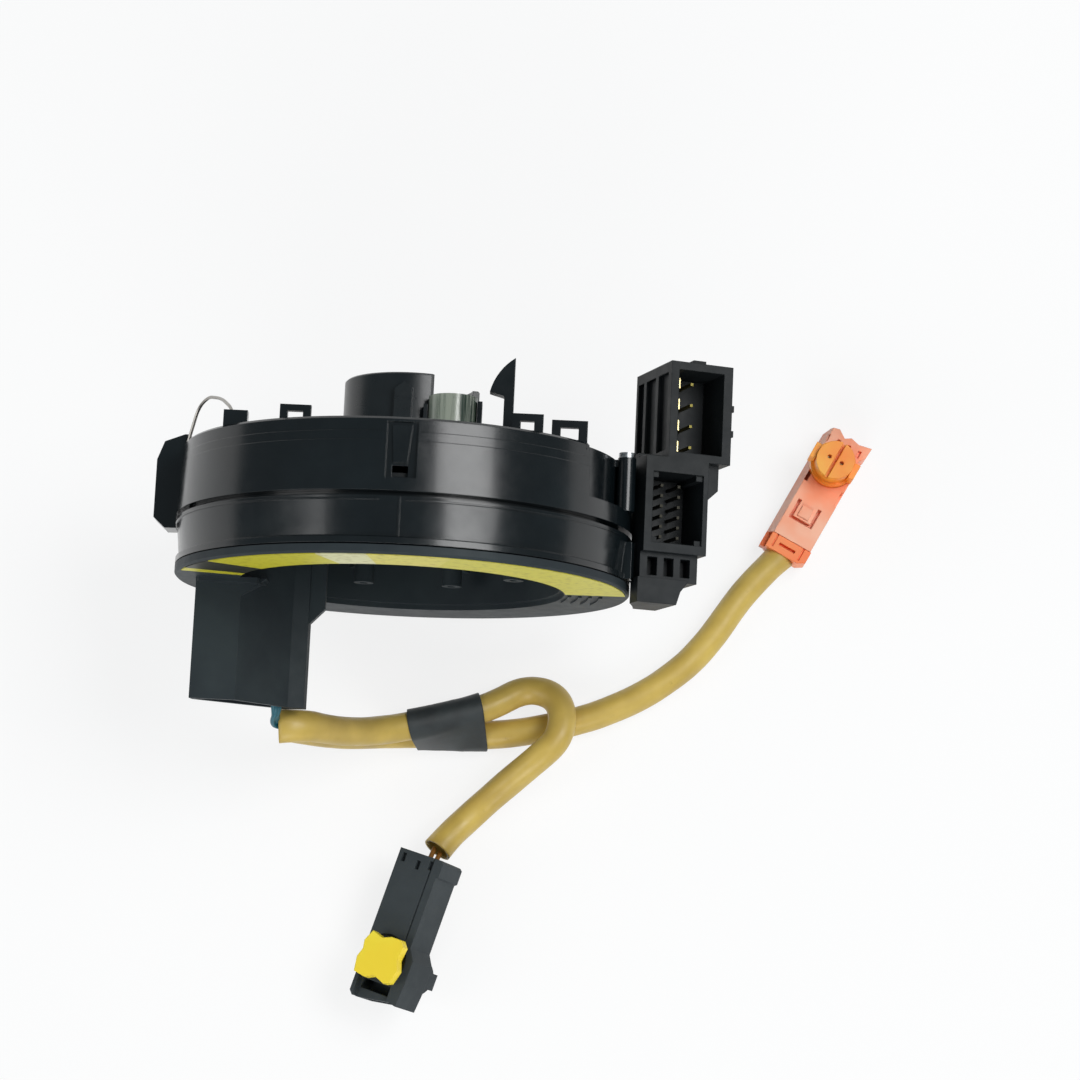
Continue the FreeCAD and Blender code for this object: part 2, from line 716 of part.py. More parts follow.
def in_block(shape):
    """From the block's own axes (right, column side, out of the sockets) to the frame."""
    copy = shape.copy()
    copy.rotate(ORIGIN, COLUMN, block_turn)
    copy.translate(block_at)
    return copy


def pin_b_places():
    left, right, low, high = b_mouth
    places = []
    for row in range(2):
        for k in range(6):
            places.append((left + 4.6 + 4.6 * row, low + 2.4 + (high - low - 4.8) * k / 5))
    return places


def pin_a_places():
    left, right, low, high = a_mouth
    return [(left + 5.6, low + 2.4 + (high - low - 4.8) * k / 3) for k in range(4)]


def blade_places():
    left, right, low, high = a_mouth
    return [(left + 2.0, low + 2.4 + (high - low - 4.8) * k / 3) for k in range(4)]


def pins(places, w, h, tip):
    solids = []
    for x, y in places:
        solids.append(block(x - w / 2, x + w / 2, y - h / 2, y + h / 2, -socket_depth - socket_floor - 2.0, -tip))
    return in_block(Part.makeCompound(solids))


def blade_terminals():
    return pins(blade_places(), 0.8, 2.6, 5.0)


def signal_pins():
    return pins(pin_a_places(), 0.7, 0.7, 5.0)


def sensor_pins():
    return pins(pin_b_places(), 0.7, 0.7, 5.5)


def connector_housing():
    """Two stacked sockets on a ribbed back, cut round to the case."""
    back = -block_back
    deep = -socket_depth
    a_frame = block(a_left, a_right, a_low, a_high, back, 0)
    b_frame = block(b_left, b_right, b_low, a_low + 0.5, back + 3, 0)
    b_rear = side([(b_right - 1, a_low + 0.5), (13.6, a_low + 0.5), (13.6, 27.0), (10.4, 24.0),
                   (b_right - 1, 22.0)], back + 3, -2.5)
    skirt = block(b_left, b_right - 1.4, 2.9, b_low + 0.5, back + 6, -2.0)
    foot = side([(b_left - 1.0, foot_low), (2.6, foot_low), (3.6, 0.4), (5.9, 3.4), (b_left - 1.0, 3.4)],
                back + 9, -0.5)
    crown = block(6.0, 9.4, a_high - 0.5, 59.8, back + 4, -3.0)
    shelf = block(b_left, a_left + 1, a_low - 1.5, a_low + 1.6, back + 3, -5.0)
    body = joined([a_frame, b_frame, b_rear, skirt, foot, crown, shelf])
    left, right, low, high = a_mouth
    body = body.cut(block(left, right, low, high, deep, 1))
    for near, far in ((-2.0, -8.5), (-10.2, -16.4), (-18.0, back + 1.2)):
        body = body.cut(block(a_left - 1, a_left + 1.1, low + 0.6, high - 0.6, far, near))
    body = body.cut(block(left + 1.0, right - 1.0, low + 1.0, high - 1.0, back - 1, deep - socket_floor))
    left, right, low, high = b_mouth
    body = body.cut(block(left, right, low, high, deep, 1))
    body = body.cut(block(left + 1.0, right - 1.0, low + 1.0, high - 1.0, back - 1, deep - socket_floor))
    for x, y in ((left, low), (left, high - 1.3), (right - 1.6, low), (right - 1.6, high - 1.3)):
        body = body.fuse(block(x - 0.1, x + 1.7, y - 0.1, y + 1.4, deep, -0.8))
    body = body.fuse(block(a_right - 0.2, a_right + 0.9, 47.2, 48.8, -7.0, -0.8))
    body = body.fuse(block(a_right - 0.2, a_right + 0.9, 40.8, 42.4, -7.0, -0.8))
    for k in range(3):
        body = body.cut(block(b_left + 2.0 + 4.4 * k, b_left + 4.6 + 4.4 * k, 4.2, 8.8, -6.0, 1))
    body = in_block(body)
    body = body.cut(ring(cover_low_r + fit_gap, 0, case_low_y + 0.1, a_low - 0.8))
    body = body.cut(ring(face_r + 2 * run_gap + 0.4, 0, foot_low - 1, case_low_y + 0.2))
    guide_room = block(case_low_r, case_high_r + guide_out + run_gap, case_low_y, guide_top + run_gap,
                       -guide_w, guide_w)
    body = body.cut(at_angle(guide_room, guide_angle))
    post = Part.makeCylinder(post_outer_r + fit_gap, 14.0, polar(screw_ring_r, screw_angles[0], 19.5), COLUMN)
    body = body.cut(post)
    for tool in (blade_terminals(), signal_pins(), sensor_pins()):
        body = body.cut(tool)
    return body.removeSplitter()


# Plugs

def laid(shape, spot, turn, roll):
    """From a plug's own axes (length, left, top) to where it lies."""
    copy = shape.copy()
    copy.rotate(ORIGIN, V(1, 0, 0), roll)
    copy.rotate(ORIGIN, UP, turn)
    copy.translate(spot)
    return copy


def in_orange(shape):
    return laid(shape, orange_at + V(0, 0, floor_z), orange_turn, 0.0)


def orange_body():
    """Flat squib plug housing with a latch tab, a cap seat and a fluted front."""
    u0 = orange_start + orange_cap
    u1 = orange_start + orange_len
    v0 = orange_mid - orange_w / 2
    v1 = orange_mid + orange_w / 2
    front = [(u0, v0), (u1 - 5.5, v0), (u1 - 5.5, v0 + 1.0), (u1 - 3.6, v0 - 0.4), (u1 - 0.4, v0 - 0.6),
             (u1 - 1.2, v0 + 3.0), (u1 - 0.6, v0 + 5.6), (u1 - 1.6, v0 + 7.2), (u1, v0 + 9.6),
             (u1 - 0.6, v1 - 1.2), (u1 - 2.2, v1), (u0, v1)]
    body = side(front, 0.0, orange_h)
    bevel = Part.Face(Part.makePolygon([V(u0 - 1, v1 - 1.7, orange_h + 0.1), V(u0 - 1, v1 + 0.1, orange_h + 0.1),
                                        V(u0 - 1, v1 + 0.1, 2.0), V(u0 - 1, v1 - 1.7, orange_h + 0.1)]))
    body = body.cut(bevel.extrude(V(orange_len + 4, 0, 0)))
    seat = Part.makeCylinder(orange_head_r + fit_gap, 3.0,
                             V(orange_head_at, orange_mid, orange_h - head_sunk), UP)
    body = body.cut(seat)
    tab = (9.3, 14.2, orange_mid - 3.6, orange_mid + 3.4)
    for x0, x1, y0, y1 in ((tab[0], tab[1], tab[2], tab[2] + 0.9), (tab[0], tab[1], tab[3] - 0.9, tab[3]),
                           (tab[0] - 0.9, tab[0], tab[2], tab[3])):
        body = body.cut(block(x0, x1, y0, y1, orange_h - 2.0, orange_h + 1))
    body = body.fuse(block(tab[0] + 0.6, tab[0] + 3.8, orange_mid - 1.7, orange_mid + 1.5,
                           orange_h - 0.5, orange_h + 0.5))
    for k in range(4):
        y = v0 + 1.4 + 3.2 * k
        body = body.cut(block(u1 - 4.6, u1 - 2.6, y, y + 0.9, orange_h - 0.9, orange_h + 1))
    body = body.cut(block(17.0, 21.5, v0 - 0.1, v0 + 0.7, 5.6, orange_h + 1))
    body = body.cut(block(19.5, 24.5, v1 - 2.6, v1 - 1.7, 5.6, orange_h + 1))
    slot = block(u0 + 5, u0 + 15.0, orange_mid - 3.2, orange_mid + 3.2, -1.0, 3.2)
    return body.cut(slot).removeSplitter()


def orange_cap_piece():
    """Rear cap that closes the plug over the lead's wires."""
    u0 = orange_start
    u1 = orange_start + orange_cap - fit_gap
    v0 = orange_mid - orange_w / 2
    v1 = orange_mid + orange_w / 2
    body = side([(u0 + 1.2, v0 - 0.3), (u1, v0 - 0.3), (u1, v1 - 1.5), (u0, v1 - 1.5), (u0, v0 + 1.6)],
                0.3, orange_h - 0.3)
    body = body.fuse(block(u0 + 0.2, u1, v1 - 1.6, v1, 0.6, 4.6))
    body = body.cut(block(u0 + 1.9, u0 + 2.7, orange_mid - 2.9, orange_mid + 1.9, orange_h - 1.6, orange_h))
    for v in (v0 + 1.6, v1 - 3.4):
        body = body.cut(block(u0 + 0.8, u1 + 0.1, v, v + 0.5, orange_h - 0.9, orange_h))
    return body.removeSplitter()


def squib_head(r, height, low):
    """Round plug head with two pin holes and a spring tongue at each side."""
    body = Part.makeCylinder(r - 0.9, height, V(0, 0, low), UP)
    collar = Part.makeCylinder(r, height * 0.45, V(0, 0, low), UP)
    body = body.fuse(collar)
    for s in (-1, 1):
        mid = s * (r - 0.2)
        tongue = block(-2.2, 2.2, mid - 0.8, mid + 0.8, low + head_sunk + 0.2, low + height * 0.86)
        body = body.fuse(tongue)
        body = body.cut(Part.makeCylinder(0.55, height, V(0, 1.85 * s, low + 2.0), UP))
    body = body.cut(block(-r, r, -0.45, 0.45, low + height * 0.8, low + height + 1))
    return body.removeSplitter()


def orange_head():
    head = squib_head(orange_head_r, orange_head_h + head_sunk, orange_h - head_sunk)
    head.translate(V(orange_head_at, orange_mid, 0))
    return head


def orange_contacts():
    spots = [V(orange_head_at, orange_mid + 1.85 * s, orange_h - 0.4) for s in (-1, 1)]
    return Part.makeCompound([Part.makeCylinder(0.5, orange_head_h - 1.6, p, UP) for p in spots])


def orange_lock():
    """Lock slide in the underside slot of the orange plug."""
    u0 = orange_start + orange_cap + 5
    body = block(u0 + 0.3, u0 + 11.4 - 3.6, orange_mid - 3.0, orange_mid + 3.0, 0.6, 2.9)
    for k in range(3):
        body = body.cut(block(u0 + 1.4 + 1.6 * k, u0 + 2.0 + 1.6 * k, orange_mid - 2.2, orange_mid + 2.2, 0.4, 1.1))
    return body


def black_drop():
    """Height of the plug's middle when it rests on the edge of its head."""
    roll = math.radians(black_roll)
    return floor_z + (black_h / 2 + black_head_h) * math.cos(roll) + black_head_r * math.sin(roll)


def in_black(shape):
    return laid(shape, black_rear + V(0, 0, black_drop()), black_turn, black_roll)


def black_body():
    """Squib plug housing: long box, bulged round the head, with an open front frame."""
    half = black_w / 2
    top = black_h / 2
    outline = [(0.0, -half), (black_len - 1.2, -half), (black_len, -half + 1.2), (black_len - 1.6, half - 1.0),
               (black_len - 1.0, half + 1.4), (33.5, half + 2.0), (27.0, half + 2.0), (24.0, half),
               (4.8, half), (4.4, half + 0.7), (0.6, half + 0.7), (0.0, half)]
    body = side(outline, -top, top)
    rim = side([(0.0, half - 2.4), (22.5, half - 2.4), (22.5, half - 2.0), (0.0, half - 2.0)], top - 0.4, top + 1)
    body = body.cut(rim)
    dish = Part.makeCylinder(6.6, 2.4, V(lock_at, lock_side - 1.2, top - 2.0), UP)
    lower_front = block(28.0, black_len + 1, -half + 1.1, half - 1.6, top - 2.0, top + 1)
    body = body.cut(dish).cut(lower_front)
    frame_hole = block(35.2, 37.8, -half + 1.7, half - 2.2, top - 7.0, top + 1)
    body = body.cut(frame_hole)
    shaft = lock_stem_box(fit_gap + 0.1, top - lock_stem - lock_travel - run_gap, top + 1)
    body = body.cut(shaft)
    for v in (-half + 1.2, -0.5, half - 3.2):
        u = 1.0 if v != -0.5 else 1.9
        body = body.cut(block(u, u + 2.3, v, v + 1.2, top - 1.2, top + 1))
    middle = V(black_head_at, black_head_side, -top - 1)
    seat = Part.makeCylinder(black_head_r + fit_gap, head_sunk + 1, middle, UP)
    body = body.cut(seat)
    notch = side([(black_len - 2.0, -half + 2.0), (black_len + 1, -half + 2.8), (black_len + 1, half - 3.6),
                  (black_len - 2.0, half - 2.8)], -top + 2.5, top - 4.2)
    return body.cut(notch).removeSplitter()


def lock_stem_box(grow, low, high):
    return block(lock_at - 3.0 - grow, lock_at + 3.2 + grow, lock_side - 3.3 - grow, lock_side + 3.3 + grow,
                 low, high)


def yellow_lock():
    """Lock plate with wavy edges on a stepped stem, standing in its raised place."""
    top = black_h / 2
    base = top + lock_rise - lock_t
    u, v = lock_at, lock_side
    hu, hv = lock_l / 2, lock_w / 2
    pts = [(u - hu, v - hv + 2.0), (u - hu + 1.0, v - 1.0), (u - hu, v + 1.6), (u - hu, v + hv - 1.8),
           (u - hu + 1.6, v + hv - 0.4), (u - 1.0, v + hv - 0.9), (u + 1.8, v + hv + 0.2),
           (u + hu - 0.6, v + hv - 0.9), (u + hu, v + hv - 2.4), (u + hu - 1.2, v + 0.4),
           (u + hu, v - 2.2), (u + hu - 0.6, v - hv + 0.6), (u + 1.6, v - hv), (u - 0.8, v - hv + 0.9),
           (u - 3.0, v - hv + 0.5)]
    plate = side(pts, base, base + lock_t)
    step = block(u - 4.4, u + 4.4, v - 4.2, v + 3.4, base - 1.0, base + 0.2)
    stem = lock_stem_box(0.0, top - lock_stem, base)
    return joined([plate, step, stem])


def black_head():
    head = squib_head(black_head_r, black_head_h + head_sunk, 0.0)
    head.rotate(ORIGIN, V(1, 0, 0), 180)
    head.translate(V(black_head_at, black_head_side, -black_h / 2 + head_sunk))
    return head


def black_contacts():
    low = -black_h / 2 - black_head_h + 1.6
    spots = [V(black_head_at, black_head_side + 1.85 * s, low) for s in (-1, 1)]
    return Part.makeCompound([Part.makeCylinder(0.5, black_head_h - 1.6, p, UP) for p in spots])


# Leads

def black_sheath():
    return tube(SHEATH_BLACK, sheath_r, "black_sheath")


def orange_sheath():
    """Its end is cut off flush where it meets the plug's cap."""
    whole = tube(SHEATH_ORANGE, sheath_r, "orange_sheath")
    u0 = orange_start
    past_cap = block(u0, u0 + 20, -20, 20, -20, 20)
    return whole.cut(in_orange(past_cap))


def tower_leads():
    """Four insulated wires from the tower's socket down to the two sheaths."""
    wires = []
    for k, step in enumerate(LEAD_STEPS):
        p = along_socket(step, 1.35)
        route = SHEATH_ORANGE if k < 2 else SHEATH_BLACK
        end = V(*route[0])
        way = (V(*route[1]) - end).normalize()
        apart = UP.cross(way).normalize() * (1.0 if k % 2 else -1.0)
        end = end + apart
        bend = V(end.x * 0.55 + p.x * 0.45, -35.0, p.z - 5.0)
        points = [V(p.x, tower_end + tower_socket - 5.0, p.z), V(p.x, -32.0, p.z), bend, end]
        wires.append(tube([(q.x, q.y, q.z) for q in points], lead_r, "tower_lead", 8))
    return Part.makeCompound(wires)


def band(p1, p2, way, r):
    """Closed band laid round two tubes that lie side by side."""
    across = (p1 - p2).normalize()
    normal = (way - across * way.dot(across)).normalize()
    lift = normal.cross(across)
    edges = [Part.Arc(p1 + lift * r, p1 + across * r, p1 - lift * r).toShape(),
             Part.LineSegment(p1 - lift * r, p2 - lift * r).toShape(),
             Part.Arc(p2 - lift * r, p2 - across * r, p2 + lift * r).toShape(),
             Part.LineSegment(p2 + lift * r, p1 + lift * r).toShape()]
    return Part.Wire(edges)


def point_at(path, x):
    """First point of a lead's path that reaches a given x."""
    for p in path.discretize(Distance=0.25):
        if p.x >= x:
            return p


def tape_sleeve(sheath):
    """Cloth tape wound round both sheaths."""
    black_path = bent_path(SHEATH_BLACK)[0]
    orange_path = bent_path(SHEATH_ORANGE)[0]
    skins = []
    for r in (sheath_r + tape_gap + tape_t, sheath_r + tape_gap):
        bands = []
        for x in TAPE_STATIONS:
            p1 = point_at(black_path, x - tape_slant)
            p2 = point_at(orange_path, x + tape_slant)
            way = point_at(black_path, x) - point_at(black_path, x - 2 * tape_slant)
            bands.append(band(p1, p2, way, r))
        skins.append(Part.makeLoft(bands, True, True))
    return skins[0].cut(skins[1]).cut(sheath)


def black_leads(plug, sheath):
    """Two short bare stretches of wire between the sheath's end and the black plug."""
    end = V(*SHEATH_BLACK[-1])
    way = (end - V(*SHEATH_BLACK[-2])).normalize()
    apart = UP.cross(way).normalize()
    face = black_rear + V(0, 0, black_drop()) + V(0.65, -0.2, -1.34)
    wires = []
    for s in (-1.0, 1.0):
        begin = end - way * 0.8 + apart * s
        finish = face + apart * s * 0.9
        finish = finish + (finish - begin).normalize() * 0.8
        wires.append(rod(begin, finish, lead_r).cut(plug).cut(sheath))
    return Part.makeCompound(wires)


def main():
    save("rotor_housing", rotor_housing())
    save("hub_sleeve", hub_sleeve())
    save("ring_gear", ring_gear())
    save("clear_sleeve", clear_sleeve())
    save("face_label", face_label())
    save("tower_pins", tower_pins())
    save("lower_case", lower_case())
    cover = upper_cover()
    save("upper_cover", cover)
    save("cover_screws", cover_screws())
    save("gear_plate", gear_plate())
    for name, angle, teeth in (("a", gear_a_angle, gear_a_teeth), ("b", gear_b_angle, gear_b_teeth)):
        save("sensor_gear_" + name, sensor_gear(angle, teeth))
        save("gear_magnet_" + name, gear_magnet(angle, teeth))
    save("sensor_board", sensor_board())
    save("hall_chips", hall_chips())
    save("flat_cable", flat_cable())
    save("cable_guide", cable_guide())
    save("cable_clip_outer", cable_clip_outer())
    save("cable_clip_inner", cable_clip_inner())
    save("wire_bail", wire_bail().cut(cover))
    save("connector_housing", connector_housing())
    save("blade_terminals", blade_terminals())
    save("signal_pins", signal_pins())
    save("sensor_pins", sensor_pins())
    for name, piece in (("orange_body", orange_body), ("orange_cap", orange_cap_piece),
                        ("orange_head", orange_head), ("orange_contacts", orange_contacts),
                        ("orange_lock", orange_lock)):
        save(name, in_orange(piece()))
    plug = in_black(black_body())
    save("black_body", plug)
    for name, piece in (("yellow_lock", yellow_lock), ("black_head", black_head),
                        ("black_contacts", black_contacts)):
        save(name, in_black(piece()))
    sheath = black_sheath()
    other = orange_sheath()
    save("black_sheath", sheath)
    save("orange_sheath", other)
    save("tape_sleeve", tape_sleeve(sheath))
    save("tower_leads", tower_leads().cut(sheath).cut(other))
    save("black_leads", black_leads(plug, sheath))


main()
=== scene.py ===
"""Steering clock spring: finishes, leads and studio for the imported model. Metres, +Z up."""
import math

import bmesh
import bpy
from mathutils import Matrix, Vector, noise


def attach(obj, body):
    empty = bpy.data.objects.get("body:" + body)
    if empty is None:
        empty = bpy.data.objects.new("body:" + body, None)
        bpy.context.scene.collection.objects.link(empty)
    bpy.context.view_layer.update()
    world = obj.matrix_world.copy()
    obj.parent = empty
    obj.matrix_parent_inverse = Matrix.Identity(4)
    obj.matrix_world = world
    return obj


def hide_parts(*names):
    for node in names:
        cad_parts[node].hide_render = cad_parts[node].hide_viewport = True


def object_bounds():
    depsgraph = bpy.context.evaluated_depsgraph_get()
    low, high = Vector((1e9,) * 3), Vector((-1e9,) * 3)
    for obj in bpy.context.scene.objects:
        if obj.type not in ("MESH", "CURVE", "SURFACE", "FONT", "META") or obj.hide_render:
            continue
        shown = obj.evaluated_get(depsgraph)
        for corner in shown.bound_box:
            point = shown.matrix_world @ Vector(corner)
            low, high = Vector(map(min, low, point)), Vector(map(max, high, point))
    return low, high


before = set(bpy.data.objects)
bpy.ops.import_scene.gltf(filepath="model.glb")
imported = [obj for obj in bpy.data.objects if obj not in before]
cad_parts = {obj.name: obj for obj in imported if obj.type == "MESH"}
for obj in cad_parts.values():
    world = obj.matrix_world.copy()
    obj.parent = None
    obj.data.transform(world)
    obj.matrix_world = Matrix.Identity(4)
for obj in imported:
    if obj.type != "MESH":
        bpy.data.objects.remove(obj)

cad_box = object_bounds()
MM = 0.001
scene = bpy.context.scene
scene.view_settings.view_transform = "Standard"

# Route points of the two leads, in millimetres, as the solids have them
BLACK_ROUTE = [
    (-22.4, -33.8, -24.0), (-16.8, -34.0, -31.4), (-9.6, -33.2, -39.8), (-0.6, -31.0, -46.6),
    (10.5, -28.0, -49.8), (22.6, -24.0, -52.6), (32.4, -17.8, -55.0), (41.6, -20.8, -51.2),
    (42.4, -31.2, -47.0), (35.0, -38.4, -47.8), (27.0, -45.2, -53.2), (19.4, -52.4, -55.2),
    (12.6, -59.6, -52.2), (10.4, -62.6, -51.0)]
ORANGE_ROUTE = [
    (-28.4, -33.4, -29.4), (-23.0, -34.0, -37.4), (-15.8, -33.6, -46.4), (-6.2, -32.4, -53.6),
    (6.0, -31.4, -57.1), (20.0, -31.3, -57.1), (32.0, -29.8, -57.1), (43.0, -27.3, -57.1),
    (53.5, -23.6, -57.1), (64.0, -18.3, -57.1), (74.0, -11.0, -57.1), (82.0, -1.6, -57.1),
    (88.2, 8.6, -57.0), (94.0, 15.6, -56.8), (99.8, 21.6, -56.6)]
# Where the black plug's sheath is drawn out flat under the tower, and its points up to the route
MOUTH = [(-30.6, -34.4, -19.6), (-26.0, -34.1, -19.4)]
MOUTH_STEPS = 12
# The four wires from the tower's socket to the two sheaths
WIRE_ROUTES = [
    [(-33.84, -20.0, -8.64), (-32.0, -28.0, -10.6), (-31.4, -31.6, -12.0), (-31.9, -33.4, -17.0),
     (-30.6, -33.9, -24.0), (-28.0, -33.4, -30.2), (-26.6, -33.5, -32.0)],
    [(-32.47, -20.0, -9.64), (-31.6, -28.0, -11.2), (-30.6, -31.6, -13.2), (-31.2, -33.0, -18.0),
     (-29.6, -33.4, -25.0), (-27.6, -33.2, -29.8), (-26.0, -33.4, -32.4)],
    [(-31.09, -20.0, -10.63), (-30.8, -28.0, -11.4), (-31.0, -31.6, -11.9), (-32.2, -33.6, -15.6),
     (-31.6, -34.6, -19.0), (-28.4, -34.6, -19.4), (-26.0, -34.3, -19.8)],
    [(-29.71, -20.0, -11.63), (-29.9, -28.0, -12.0), (-30.4, -31.6, -12.6), (-31.6, -33.0, -16.4),
     (-30.8, -33.6, -18.6), (-28.0, -33.8, -19.4), (-26.0, -34.0, -19.8)]]
# Millimetres: radii, the sheath's wall and the step between its rings, the tape's reach along X
SHEATH_R = 3.8
SHEATH_WALL = 0.6
RING_STEP = 0.7
WIRE_R = 0.65
WIRE_STEP = 0.5
TAPE_FROM, TAPE_TO = 2.3, 20.8
TAPE_OVER = 0.65
TAPE_T = 0.3


# Camera, at the photograph's place

def place_camera():
    """Camera at the photograph's distance and angle, with its axes fitted to the outline."""
    data = bpy.data.cameras.new("camera")
    data.sensor_width = 36.0
    data.lens = 95.67
    data.clip_start = 0.05
    data.clip_end = 20.0
    camera = bpy.data.objects.new("camera", data)
    right = Vector((0.99898, 0.04464, 0.00701))
    up = Vector((-0.04519, 0.98687, 0.15507))
    back = right.cross(up).normalized()
    up = back.cross(right).normalized()
    turn = Matrix((right.normalized(), up, back)).transposed()
    camera.matrix_world = Matrix.Translation(Vector((34.0, -98.5, 714.5)) * MM) @ turn.to_4x4()
    scene.collection.objects.link(camera)
    scene.camera = camera


# Finishes

def linear(code):
    """Linear colour with full alpha from an sRGB hex code."""
    values = []
    for k in (1, 3, 5):
        c = int(code[k:k + 2], 16) / 255
        values.append(c / 12.92 if c <= 0.04045 else ((c + 0.055) / 1.055) ** 2.4)
    return (*values, 1.0)


def node(tree, kind, settings=None, inputs=None, links=None):
    """Adds one shader node: its settings, its input values, and the outputs linked to its inputs."""
    n = tree.nodes.new(kind)
    for key, value in (settings or {}).items():
        setattr(n, key, value)
    for key, value in (inputs or {}).items():
        n.inputs[key].default_value = value
    for key, source in (links or {}).items():
        tree.links.new(source, n.inputs[key])
    return n


def finish(name):
    """A new material with an emptied node tree and its output node."""
    material = bpy.data.materials.new(name)
    material.use_nodes = True
    material.node_tree.nodes.clear()
    return material, material.node_tree, node(material.node_tree, "ShaderNodeOutputMaterial")


def place(tree):
    """Position on the piece itself, which moves with it."""
    return node(tree, "ShaderNodeTexCoord").outputs["Object"]


def cloud(tree, spot, waves, detail, rough=0.5):
    """Noise with so many waves to the metre of the real piece."""
    values = {"Scale": waves, "Detail": detail, "Roughness": rough}
    return node(tree, "ShaderNodeTexNoise", None, values, {"Vector": spot}).outputs["Fac"]


def ramp(tree, source, low, high, at=(0.4, 0.6)):
    """Colour that goes from low to high between two values of the source."""
    n = node(tree, "ShaderNodeValToRGB", links={"Fac": source})
    n.color_ramp.elements[0].position, n.color_ramp.elements[1].position = at
    n.color_ramp.elements[0].color = low
    n.color_ramp.elements[1].color = high
    return n.outputs["Color"]


def grey(v):
    """Value as a colour, for a ramp that drives a number."""
    return (v, v, v, 1.0)


def moulded(name, dark, light, gloss, grain_mm, grain, edge_mm=0.25, coat=0.0, shine=0.5):
    """Injection-moulded plastic: flow shading, a fine skin, handling marks and rounded edges."""
    material, tree, out = finish(name)
    spot = place(tree)
    flow = cloud(tree, spot, 45.0, 4.0)
    rub = cloud(tree, spot, 220.0, 6.0, 0.7)
    pores = cloud(tree, spot, 1000.0 / grain_mm, 2.0)
    sink = cloud(tree, spot, 70.0, 1.0)
    colour = ramp(tree, flow, linear(dark), linear(light))
    rough = ramp(tree, rub, grey(gloss[0]), grey(gloss[1]), (0.35, 0.75))
    rounded = node(tree, "ShaderNodeBevel", {"samples": 4}, {"Radius": edge_mm * MM})
    waves = node(tree, "ShaderNodeBump", None, {"Strength": 0.12, "Distance": 0.0002},
                 {"Height": sink, "Normal": rounded.outputs["Normal"]})
    fine = node(tree, "ShaderNodeBump", None, {"Strength": grain, "Distance": 0.00003},
                {"Height": pores, "Normal": waves.outputs["Normal"]})
    shader = node(tree, "ShaderNodeBsdfPrincipled", None,
                  {"IOR": 1.49, "Specular IOR Level": shine, "Coat Weight": coat,
                   "Coat Roughness": 0.08},
                  {"Base Color": colour, "Roughness": rough, "Normal": fine.outputs["Normal"]})
    tree.links.new(shader.outputs["BSDF"], out.inputs["Surface"])
    return material


def metal(name, colour, gloss, wear_mm):
    """Drawn or plated metal: even colour, fine drawing lines and a little dullness."""
    material, tree, out = finish(name)
    spot = place(tree)
    dull = cloud(tree, spot, 1000.0 / wear_mm, 4.0)
    rough = ramp(tree, dull, grey(gloss[0]), grey(gloss[1]))
    tone = ramp(tree, dull, linear(colour[0]), linear(colour[1]))
    bump = node(tree, "ShaderNodeBump", None, {"Strength": 0.15, "Distance": 0.00002}, {"Height": dull})
    shader = node(tree, "ShaderNodeBsdfPrincipled", None, {"Metallic": 1.0},
                  {"Base Color": tone, "Roughness": rough, "Normal": bump.outputs["Normal"]})
    tree.links.new(shader.outputs["BSDF"], out.inputs["Surface"])
    return material


def vinyl_sheath():
    """Extruded PVC tube, dull ochre with handling dirt and soft dents."""
    material, tree, out = finish("pvc_sheath")
    spot = place(tree)
    dirt = cloud(tree, spot, 300.0, 6.0, 0.75)
    body = ramp(tree, cloud(tree, spot, 90.0, 3.0), linear("#BA9C4B"), linear("#D5B75C"), (0.3, 0.7))
    marks = ramp(tree, dirt, linear("#7A5A22"), linear("#FFFFFF"), (0.2, 0.36))
    mixed = node(tree, "ShaderNodeMix", {"data_type": "RGBA", "blend_type": "MULTIPLY"}, {0: 0.5},
                 {"A": body, "B": marks})
    dents = node(tree, "ShaderNodeBump", None, {"Strength": 0.25, "Distance": 0.0004},
                 {"Height": cloud(tree, spot, 120.0, 2.0)})
    fine = node(tree, "ShaderNodeBump", None, {"Strength": 0.2, "Distance": 0.00004},
                {"Height": dirt, "Normal": dents.outputs["Normal"]})
    rough = ramp(tree, dirt, grey(0.36), grey(0.5))
    shader = node(tree, "ShaderNodeBsdfPrincipled", None, {"IOR": 1.53, "Sheen Weight": 0.05},
                  {"Base Color": mixed.outputs["Result"], "Roughness": rough,
                   "Normal": fine.outputs["Normal"]})
    tree.links.new(shader.outputs["BSDF"], out.inputs["Surface"])
    return material


def cloth_tape():
    """Harness tape pressed smooth: very fine threads, a little sheen, paler where it is rubbed."""
    material, tree, out = finish("woven_harness_tape")
    spot = place(tree)
    tone = ramp(tree, cloud(tree, spot, 160.0, 4.0), linear("#262B2D"), linear("#343A3C"), (0.35, 0.7))
    bump = node(tree, "ShaderNodeBump", None, {"Strength": 0.3, "Distance": 0.00006},
                {"Height": cloud(tree, spot, 2600.0, 2.0)})
    shader = node(tree, "ShaderNodeBsdfPrincipled", None, {"Roughness": 0.58, "Sheen Weight": 0.1},
                  {"Base Color": tone, "Normal": bump.outputs["Normal"]})
    tree.links.new(shader.outputs["BSDF"], out.inputs["Surface"])
    return material


